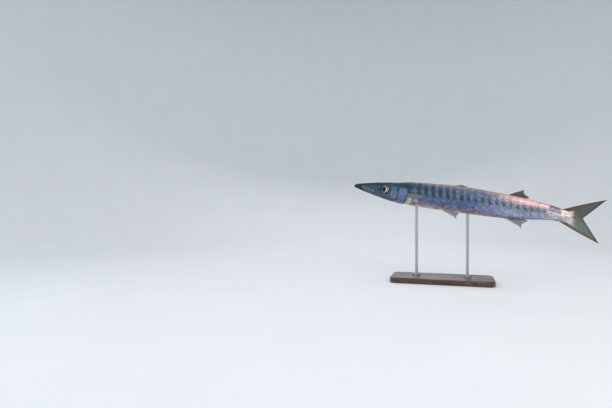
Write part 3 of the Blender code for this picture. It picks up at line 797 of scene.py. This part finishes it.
# The room between each root and whatever it must keep clear of, over what it takes to grow to full size
room = np.stack([
    (from_spot(x, z) - EYE_CLEARANCE) / 0.005,
    (-PLATE_CLEARANCE - behind_gill(root_share, root_down)) / 0.004,
    np.where(edge_gap < 0, -PLATE_CLEARANCE - edge_gap, edge_gap - PLATE_START) / 0.004,
    (root_share - 0.170 - np.abs(root_down - 0.58) * 0.08) / 0.012,
    (root_down - CHEEK_TOP) / 0.05,
    (CHEEK_TOP + CHEEK_DEEP - root_down) / 0.05,
]).min(0)
clear = room > 0
grown = SMALLEST + (1 - SMALLEST) * np.clip(room[clear], 0, 1)
for label, way in (("left", 1), ("right", -1)):
    scale_piece(f"cheek_scales_{label}", root_share[clear], root_down[clear], way,
                CHEEK_SCALE_LONG * grown, CHEEK_SCALE_WIDE * grown, np.zeros(clear.sum()), 5 + way)


# The eyes. Each is a flattened wet ball set in its socket, turned a little forward, with a black pupil
# that swells a little and a silver iris, bright inside, gilt and dark towards its rim.
EYE_RADIUS, EYE_DEPTH, EYE_OUT, EYE_TURN = 0.0132, 0.0056, 0.0190, math.radians(8)
# The pupil is taller than it is wide, and set forward; its place and half sizes are shares of the radius
PUPIL, PUPIL_FORWARD, PUPIL_WIDE, PUPIL_HIGH = 0.54, 0.12, 0.42, 0.69

eye_material, tree, shader = new_material("wet_eye")
out, high, ahead_of = noted(tree, "from_pupil"), noted(tree, "above"), noted(tree, "forward")
streak, clouds = mottle(tree, 900.0, 4.0), mottle(tree, 260.0, 3.0)
ragged = shaken(out, streak, 0.09)
iris = stepped(ragged, (
    (0.00, (2, 3, 4)), (PUPIL - 0.02, (3, 4, 6)), (PUPIL + 0.01, (246, 238, 228)),
    (PUPIL + 0.09, (232, 224, 214)), (PUPIL + 0.13, (84, 80, 70)), (PUPIL + 0.21, (74, 72, 62)),
    (PUPIL + 0.26, (206, 214, 192)), (PUPIL + 0.33, (160, 172, 156)), (PUPIL + 0.38, (24, 38, 38)),
    (1.00, (12, 18, 22)),
))
ring = between(out, PUPIL - 0.01, PUPIL + 0.03)
outer = between(out, PUPIL + 0.10, PUPIL + 0.16)
iris = laid(times(between(clouds, 0.42, 0.62), outer, 0.5), iris, (44, 54, 60))
# Painted shade on the iris: the ring dimmed to lilac above, dark before the pupil, and dark again round the
# top and bottom of its rim
iris = laid(times(between(high, 0.14, 0.60), ring, 0.74), iris, (116, 132, 172))
height = maths("ABSOLUTE", high)
shade = times(between(ahead_of, 0.14, 0.32), between(height, 0.26, 0.52, 0.94, 0.55))
iris = laid(times(shade, ring), iris, (22, 34, 46))
iris = laid(times(between(height, 0.32, 0.62), outer, 0.80), iris, (20, 36, 44))
feed(shader, {
    "Base Color": iris, "Roughness": between(streak, 0.3, 0.7, 0.22, 0.36),
    "Metallic": times(band(out, PUPIL + 0.02, 0.90, 0.02), 0.25), "Specular IOR Level": 0.04,
    "Coat Weight": 0.15, "Coat Roughness": 0.03,
})
for label, way in (("left", -1), ("right", 1)):
    build = bmesh.new()
    bmesh.ops.create_uvsphere(build, u_segments=64, v_segments=48, radius=1.0)
    mesh = finished(build, f"eye_{label}")
    ball = points_of(mesh)
    # From 0 at the pupil's middle, over PUPIL at its edge, to 1 at the rim
    back, up = ball[:, 0] + PUPIL_FORWARD, ball[:, 1]
    reach = np.maximum(np.hypot(back, up), 1e-6)
    edge = reach / np.hypot(back / PUPIL_WIDE, up / PUPIL_HIGH)
    toward = PUPIL_FORWARD * back / reach
    limit = toward + np.sqrt(toward ** 2 + 1 - PUPIL_FORWARD ** 2)
    from_pupil = np.where(reach < edge, PUPIL * reach / edge,
                          PUPIL + (1 - PUPIL) * (reach - edge) / (limit - edge))
    from_pupil = np.where(ball[:, 2] > 0, from_pupil, 1.0)
    # The pole points out. The iris lies a little sunk round the swelling pupil
    dish = 0.0004 * (1 - ease(from_pupil, PUPIL - 0.06, PUPIL + 0.01))
    shaped = np.stack([ball[:, 0] * EYE_RADIUS, way * (ball[:, 2] * EYE_DEPTH + dish),
                       ball[:, 1] * EYE_RADIUS], -1)
    turned = shaped @ np.array(Matrix.Rotation(way * EYE_TURN, 3, "Z")).T
    place_verts(mesh, turned + (EYE[0], way * (EYE_OUT - EYE_DEPTH), EYE[1]))
    note(mesh, from_pupil=from_pupil, above=ball[:, 1], forward=-ball[:, 0])
    mesh.materials.append(eye_material)
    close_up(mesh)
    mesh.shade_smooth()
    eye = new_mesh_object(f"eyeball_{label}", mesh)
    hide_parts(f"eye_{label}")
    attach(eye, "root")


# The fins. Thin webs of skin carried on bony rays that split in two and in two again on their way out.
# Each starts inside the body as one sheet and is thickened on both sides, most along its rays.
def off_line(points, start, end):
    """Distance of flat points from the line through start and end."""
    line = (end - start) / np.linalg.norm(end - start)
    gap = points - start
    return np.abs(gap[:, 0] * line[1] - gap[:, 1] * line[0])


# The share of a ray over which it splits, how deep the web draws in between the rays' ends for all their
# wear, and how thick the web is beside a ray, the margin beside the root, and the least of all
SPLIT_REACH, DRAW_IN = 0.16, 0.35
WEB_THICK, EDGE_THICK, LEAST_THICK = 0.36, 0.32, 0.10


def ray_fin(name, base, margin, place, rays, thick, material, nodes, seed, per_ray=16, steps=30,
            hollow=0.0, bow=0.0, frayed=0.012, splits=(0.34, 0.64)):
    """base and margin give (back, up) shares, front to rear. A base of three points makes a forked fin.
    hollow draws its margin in, bow bends its rays, and frayed is the most that wears off them."""
    build = bmesh.new()
    bmesh.ops.create_grid(build, x_segments=rays * per_ray, y_segments=steps, size=1.0)
    mesh = finished(build, name)
    across, out = ((points_of(mesh) + 1) / 2)[:, :2].T
    base, margin = np.array(base) * BODY_LENGTH, np.array(margin) * BODY_LENGTH
    root = np.stack([np.interp(across, np.linspace(0, 1, len(base)), base[:, k]) for k in (0, 1)], -1)
    forked = len(base) == 3
    if forked:
        edge = np.stack([np.interp(across, (0, 0.5, 1), margin[:, k]) for k in (0, 1)], -1)
    else:
        stations = np.linspace(0, 1, len(margin))
        edge = np.stack([along_curve(np.stack([stations, margin[:, k]], -1), across) for k in (0, 1)], -1)
    piece = across * (len(base) - 1) % 1.0
    edge += (root - edge) * (hollow * np.sin(math.pi * piece))[:, None]
    lead = edge - root
    fade = np.sin(math.pi * out) * (np.clip(1 - 2 * across, -1, 1) if forked else 1 - across)
    sway = np.stack([-lead[:, 1], lead[:, 0]], -1) * (bow * fade)[:, None]
    # The web draws in between the rays' ends, and some rays are worn shorter than others
    chance = np.random.default_rng(seed)
    worn = np.interp(across * rays, np.arange(rays + 1), chance.random(rays + 1) * frayed)
    drawn_in = DRAW_IN * frayed * (0.5 - 0.5 * np.cos(2 * math.pi * across * rays * 2))
    short = (worn + drawn_in) * ease(out, 0.55, 1.0) * ease(np.minimum(across, 1 - across), 0.0, 0.04)
    flat = root + lead * (out * (1 - short))[:, None] + sway
    place_verts(mesh, place(flat[:, 0], flat[:, 1], out))
    levels = [np.cos(math.pi * across * rays * count) ** 2 for count in (1, 2, 4)]
    first, second = (ease(out, split, split + SPLIT_REACH) for split in splits)
    ray = (levels[0] ** 3) * (1 - first) + 0.85 * (levels[1] ** 2) * first * (1 - second)
    ray += 0.70 * levels[2] * first * second
    edge_gap = np.minimum(across, 1 - across) if forked else across
    ray = np.maximum(ray, 1 - ease(edge_gap, 0.0, 0.6 / rays))
    note(mesh, across=across, out=out, ray=ray, along=flat[:, 0] / BODY_LENGTH, wear=worn / frayed,
         lead_gap=off_line(flat, base[0], margin[0]) * 1000,
         rear_gap=off_line(flat, base[-1], margin[-1]) * 1000)
    made = new_mesh_object(name, mesh)
    body = made.vertex_groups.new(name="body")
    weight = (WEB_THICK + (1 - WEB_THICK) * ray) * (1 - (1 - EDGE_THICK) * out)
    weight = np.clip(weight, LEAST_THICK, 1.0)
    for vert, part in enumerate(weight.tolist()):
        body.add([vert], part, "REPLACE")
    sides = made.modifiers.new("both_sides", "SOLIDIFY")
    sides.thickness = thick
    sides.offset = 0.0
    sides.vertex_group = "body"
    sides.use_even_offset = False
    mesh.materials.append(material)
    mesh.shade_smooth()
    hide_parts(*nodes)
    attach(made, "root")


RAY_JOINTS = 420.0


def fin_material(name, web, rays, lead, trail, lead_mm=3.0, rear_web=None, rear_lead=None, pale_root=None):
    """A fin's finish: web and ray colours, with its own colours at the leading edge, margin and root.
    A forked fin may have another web and leading edge on its lower lobe."""
    material, tree, shader = new_material(name)
    across, out, ray = noted(tree, "across"), noted(tree, "out"), noted(tree, "ray")
    patches, fine = mottle(tree, 90.0, 4.0), mottle(tree, 1200.0, 2.0)
    if rear_web:
        web = laid(between(across, 0.40, 0.72), web, rear_web)
    painted = laid(times(ray, 0.55), web, rays)
    darker = laid(0.5, painted, (24, 26, 24))
    painted = laid(between(patches, 0.40, 0.70, 0.0, 0.6), painted, darker)
    painted = tinged(1.0, painted, OLIVE_OR_WARM, 120.0)
    if pale_root:
        reach = maths("MULTIPLY_ADD", patches, -0.024, noted(tree, "along"))
        reach = maths("MULTIPLY_ADD", times(ray, noted(tree, "wear")), -0.030, reach)
        inside = times(between(noted(tree, "lead_gap"), 7.0, 13.0),
                       between(noted(tree, "rear_gap"), 5.0, 10.0))
        pale = times(inside, between(reach, 0.992, 1.014, 0.92, 0.0))
        painted = laid(pale, painted, pale_root)
    wander = maths("MULTIPLY_ADD", patches, 2.4, -1.2)
    # The edge's colour is broadest at the fin's root
    spread = between(out, 0.0, 0.45, 0.45, 1.0)
    for side, edging in (("lead_gap", lead), ("rear_gap", rear_lead)):
        if edging:
            gap = times(maths("ADD", noted(tree, side), wander), spread)
            painted = laid(between(gap, lead_mm * 0.4, lead_mm * 1.2, 0.92, 0.0), painted, edging)
    painted = laid(between(out, 0.91, 0.96, 0.0, 0.80), painted, trail)
    # Fine joints across every ray
    joints = maths("SINE", times(out, RAY_JOINTS))
    height = maths("ADD", times(joints, ray, 0.35), fine)
    feed(shader, {
        "Base Color": painted, "Roughness": between(fine, 0.3, 0.7, 0.34, 0.52), "Coat Weight": 0.15,
        "Coat Roughness": 0.2, "Normal": bumps(0.35, 0.0002, height),
    })
    return material


def upright(back, height, out):
    return np.stack([back, np.zeros_like(back), height], -1)


def leaning(origin, way, out_angle, down_angle, cup=0.0):
    """A side fin's plane: hung at its root, swung out from the body, and cupped a little."""
    tip = np.array(Matrix.Rotation(-way * down_angle, 3, "X"))
    swing = np.array(Matrix.Rotation(way * out_angle, 3, "Z"))

    def place(back, height, out):
        flat = np.stack([back, way * cup * np.sin(math.pi * out), height], -1)
        return np.array(origin) * BODY_LENGTH + flat @ tip.T @ swing.T
    return place


tail_finish = fin_material(
    "tail_fin_finish", (50, 62, 62), (98, 108, 98), (84, 44, 24), (20, 24, 22), 5.5,
    rear_web=(94, 106, 100), rear_lead=(94, 54, 20), pale_root=(228, 208, 212))
dorsal_finish = fin_material(
    "dorsal_fin_finish", (60, 60, 60), (98, 94, 86), (74, 52, 44), (40, 36, 34))
pale_finish = fin_material(
    "pale_fin_finish", (104, 120, 136), (160, 170, 178), (216, 214, 208), (104, 116, 126))
pectoral_finish = fin_material(
    "pectoral_fin_finish", (102, 110, 116), (134, 140, 146), (112, 118, 130), (108, 112, 118), 2.0)

ray_fin("tail_fin", ((0.962, 0.0235), (0.984, 0.0), (0.966, -0.0285)),
        ((1.1434, 0.0970), (1.0605, 0.0), (1.1408, -0.1021)), upright, 18, 0.0021, tail_finish,
        ("tail_fin_upper", "tail_fin_lower"), 3, steps=56, bow=0.012)
ray_fin("first_dorsal", ((0.452, 0.062), (0.520, 0.062)), ((0.5280, 0.0785), (0.5520, 0.0730)),
        upright, 5, 0.0016, dorsal_finish, ("first_dorsal_fin",), 4, hollow=0.02, frayed=0.05,
        splits=(2.0, 3.0))
ray_fin("second_dorsal", ((0.722, 0.052), (0.803, 0.047)), ((0.8020, 0.0930), (0.8290, 0.0620)),
        upright, 10, 0.0016, dorsal_finish, ("second_dorsal_fin",), 5, hollow=0.16, bow=0.02)
ray_fin("anal", ((0.717, -0.043), (0.812, -0.036)), ((0.8170, -0.0880), (0.8390, -0.0480)),
        upright, 10, 0.0016, pale_finish, ("anal_fin",), 6, hollow=0.16, bow=-0.02)
for label, way in (("left", -1), ("right", 1)):
    ray_fin(f"pectoral_{label}", ((0.0, 0.0075), (0.0, -0.0085)), ((0.0840, 0.0080), (0.0400, -0.0150)),
            leaning((0.279, way * 0.0395, -0.0090), way, math.radians(14), math.radians(14), cup=0.0008),
            13, 0.0013, pectoral_finish, (f"pectoral_fin_{label}",), 7, per_ray=12,
            hollow=-0.10, bow=0.03)
    ray_fin(f"pelvic_{label}", ((0.0, 0.0), (0.0360, 0.0)), ((0.1010, -0.0480), (0.1060, -0.0120)),
            leaning((0.426, way * 0.0125, -0.0500), way, math.radians(6), math.radians(-38)),
            6, 0.0014, pale_finish, (f"pelvic_fin_{label}",), 8, hollow=0.05, bow=-0.03)


# The stand. A board of dark stained wood under a satin varnish, with brushed steel rods that screw into
# it through turned collars and end in the fish's belly.
WOOD_RINGS = 46.0
wood, tree, shader = new_material("stained_wood")
grain = mottle(tree, 14.0, 6.0, (1.0, 9.0, 9.0))
pores = mottle(tree, 160.0, 4.0, (0.12, 1.0, 1.0))
rings = maths("SINE", times(grain, WOOD_RINGS))
tone = stepped(between(rings, -1.0, 1.0), (
    (0.0, (44, 28, 20)), (0.55, (66, 43, 30)), (1.0, (88, 60, 42))))
feed(shader, {
    "Base Color": laid(between(pores, 0.52, 0.64, 0.0, 0.55), tone, (26, 17, 13)),
    "Roughness": between(pores, 0.4, 0.7, 0.34, 0.55), "Coat Weight": 0.25, "Coat Roughness": 0.25,
    "Normal": bumps(0.35, 0.0003, times(pores, -1.0)),
})

steel, tree, shader = new_material("brushed_steel")
brushing = mottle(tree, 500.0, 3.0, (1.0, 1.0, 0.02))
feed(shader, {
    "Base Color": laid(brushing, (150, 152, 156), (196, 198, 202)), "Metallic": 1.0,
    "Roughness": between(brushing, 0.3, 0.7, 0.22, 0.42), "Normal": bumps(0.2, 0.0001, brushing),
})

for name, finish in (("stand_base", wood), ("stand_rod_front", steel), ("stand_rod_rear", steel),
                     ("stand_collar_front", steel), ("stand_collar_rear", steel)):
    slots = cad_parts[name].data.materials
    slots.clear()
    slots.append(finish)


# The studio. A pale round floor that sweeps up into a wall, one broad light above and in front, and a
# softer one on each side.
FLOOR_REACH, SWEEP, WALL_HEIGHT = 1.5, 1.4, 3.4
build = bmesh.new()
profile = [build.verts.new((x, 0, z)) for x, z in
           [(0.0, 0.0), (FLOOR_REACH, 0.0)]
           + [(FLOOR_REACH + SWEEP * math.sin(a), SWEEP * (1 - math.cos(a)))
              for a in np.linspace(0, math.pi / 2, 13)[1:]] + [(FLOOR_REACH + SWEEP, WALL_HEIGHT)]]
edges = [build.edges.new(pair) for pair in zip(profile, profile[1:])]
bmesh.ops.spin(build, geom=profile + edges, cent=(0, 0, 0), axis=(0, 0, 1), angle=2 * math.pi, steps=64,
               use_merge=True)
bmesh.ops.remove_doubles(build, verts=build.verts, dist=0.0001)
mesh = finished(build, "studio_floor")
mesh.shade_smooth()
pale, tree, shader = new_material("pale_floor")
feed(shader, {"Base Color": laid(mottle(tree, 6.0), (212, 216, 219), (218, 222, 225)), "Roughness": 0.9})
mesh.materials.append(pale)
floor = new_mesh_object("studio_floor", mesh)


def soft_light(name, place, aim, size, power, shade):
    light = bpy.data.lights.new(name, "AREA")
    light.shape = "RECTANGLE"
    light.size, light.size_y = size
    light.energy = power
    light.color = shade
    lamp = bpy.data.objects.new(name, light)
    bpy.context.scene.collection.objects.link(lamp)
    lamp.location = place
    lamp.rotation_euler = (Vector(aim) - Vector(place)).to_track_quat("-Z", "Y").to_euler()
    lamp.visible_camera = False


soft_light("key_light", (0.9, -1.4, 1.5), (0.05, 0, 0.24), (1.8, 1.2), 22, (1.0, 0.96, 0.94))
soft_light("top_light", (0.0, 0.2, 2.4), (0, 0, 0.2), (3.0, 2.0), 20, (1.0, 0.98, 0.97))
soft_light("fill_light", (-1.4, -1.5, 0.8), (-0.1, 0, 0.24), (1.4, 1.2), 11, (0.94, 0.97, 1.0))
soft_light("back_light", (-0.6, 1.8, 1.4), (0, 0, 0.24), (1.6, 1.0), 10, (1.0, 1.0, 1.0))
world = bpy.data.worlds.new("studio_air")
world.use_nodes = True
feed(world.node_tree.nodes["Background"], {"Color": (0.80, 0.83, 0.87, 1.0), "Strength": 0.6})
bpy.context.scene.world = world
bpy.context.scene.view_settings.view_transform = "Standard"


# The camera. It looks level from 17.4 degrees round the fish's left side, from where the snout's tip
# falls at its place in the photograph, at the distance that gives the fish its length there.
PICTURE = (612, 408)
SNOUT_PIXEL = (354.2, 186.0)
LENS, SENSOR = 28.0, 36.0
SNOUT_DISTANCE = 1.4776
CAMERA_TURN = math.radians(17.4)
right = Vector((math.cos(CAMERA_TURN), math.sin(CAMERA_TURN), 0))
ahead = Vector((-math.sin(CAMERA_TURN), math.cos(CAMERA_TURN), 0))
per_pixel = SNOUT_DISTANCE * SENSOR / LENS / PICTURE[0]
camera_data = bpy.data.cameras.new("camera")
camera_data.lens, camera_data.sensor_width = LENS, SENSOR
camera = bpy.data.objects.new("camera", camera_data)
bpy.context.scene.collection.objects.link(camera)
camera.location = (POSE.translation - ahead * SNOUT_DISTANCE
                   - right * (SNOUT_PIXEL[0] - PICTURE[0] / 2) * per_pixel
                   - Vector((0, 0, 1)) * (PICTURE[1] / 2 - SNOUT_PIXEL[1]) * per_pixel)
camera.rotation_euler = (math.pi / 2, 0, CAMERA_TURN)
bpy.context.scene.camera = camera
